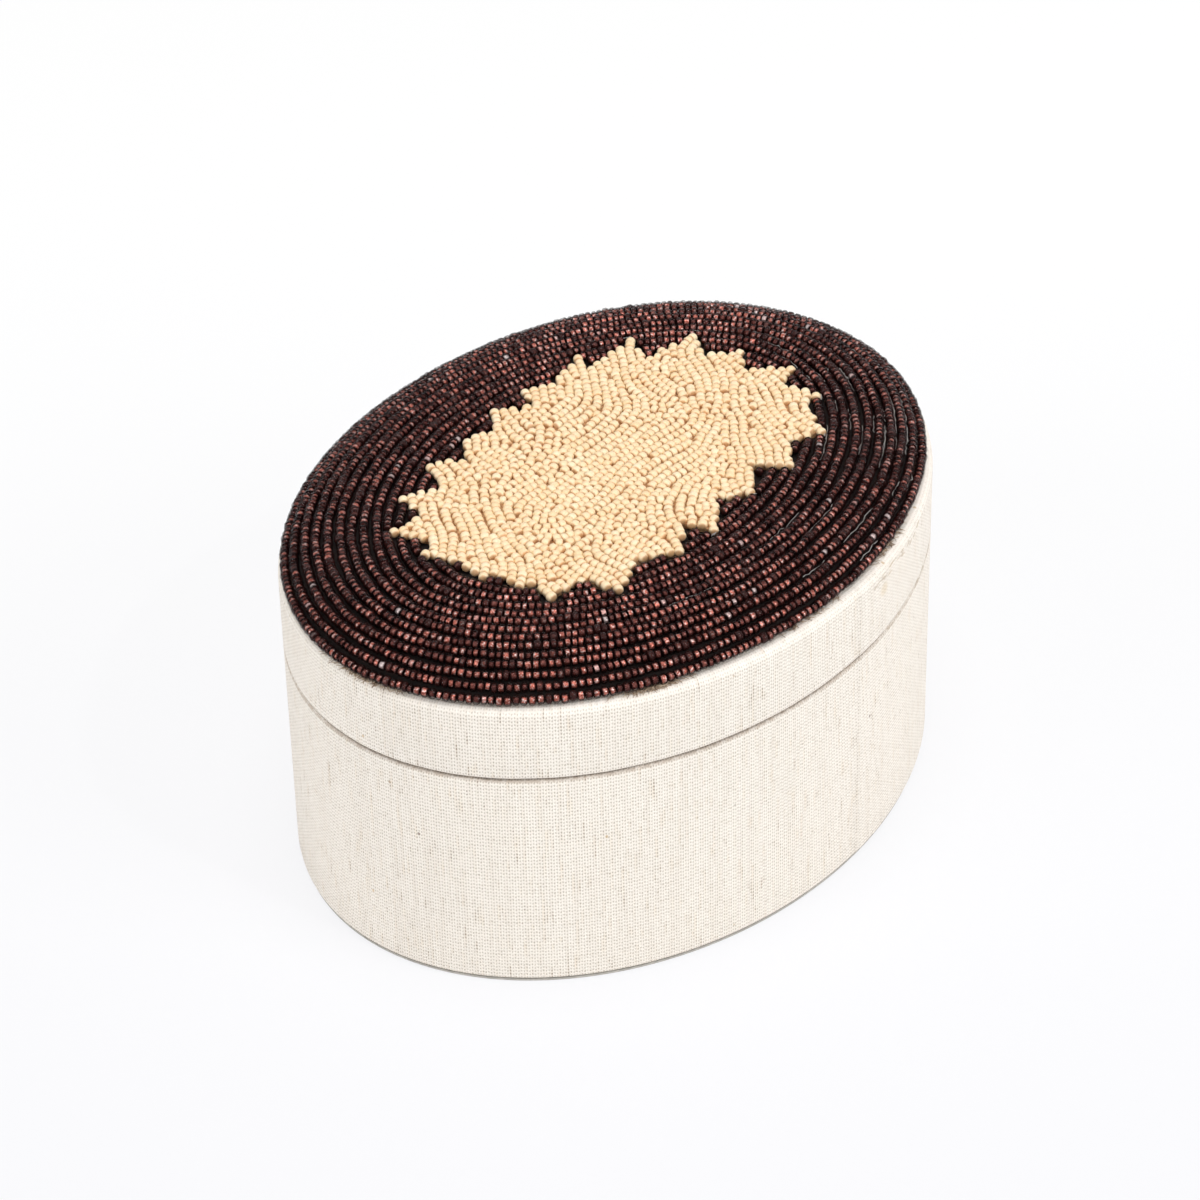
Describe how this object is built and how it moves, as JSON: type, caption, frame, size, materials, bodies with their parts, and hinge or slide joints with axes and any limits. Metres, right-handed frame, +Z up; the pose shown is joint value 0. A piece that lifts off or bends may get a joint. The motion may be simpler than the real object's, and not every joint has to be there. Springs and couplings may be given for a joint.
{
  "type": "beaded keepsake box",
  "caption": "Oval linen-covered keepsake box with a lift-off padded lid, its dome worked in rows of dark glass beads round a cream beaded sunburst.",
  "frame": {"origin": "on the surface the box stands on, under the middle of the box", "axes": "+Z up, the way the lid lifts; +X along the box; +Y across it"},
  "size_m": [0.15, 0.1156, 0.0727],
  "materials": {
    "linen": "matte",
    "greyboard": "matte",
    "foot_paper": "matte",
    "lining": "matte",
    "foam": "matte",
    "backing": "matte",
    "dark_beads": "gloss",
    "cream_beads": "satin"
  },
  "bodies": {
    "base": {"foot_sheet": "foot_paper", "base_board": "greyboard", "base_wall": "greyboard", "base_linen": "linen", "base_neck": "greyboard", "neck_lining": "lining", "floor_pad": "lining"},
    "lid": {"lid_wall": "greyboard", "lid_board": "greyboard", "lid_linen": "linen", "ceiling_card": "lining", "lid_padding": "foam", "bead_backing": "backing", "bead_row_01": "dark_beads", "bead_row_02": "dark_beads", "bead_row_03": "dark_beads", "bead_row_04": "dark_beads", "bead_row_05": "dark_beads", "bead_row_06": "dark_beads", "bead_row_07": "dark_beads", "bead_row_08": "dark_beads", "inner_bead_rows": "dark_beads", "sunburst": "cream_beads"}
  },
  "joints": [
    {"name": "lid_lift", "type": "slide", "parent": "base", "child": "lid", "axis": [0, 0, 1], "range_m": [0, 0.08]}
  ]
}
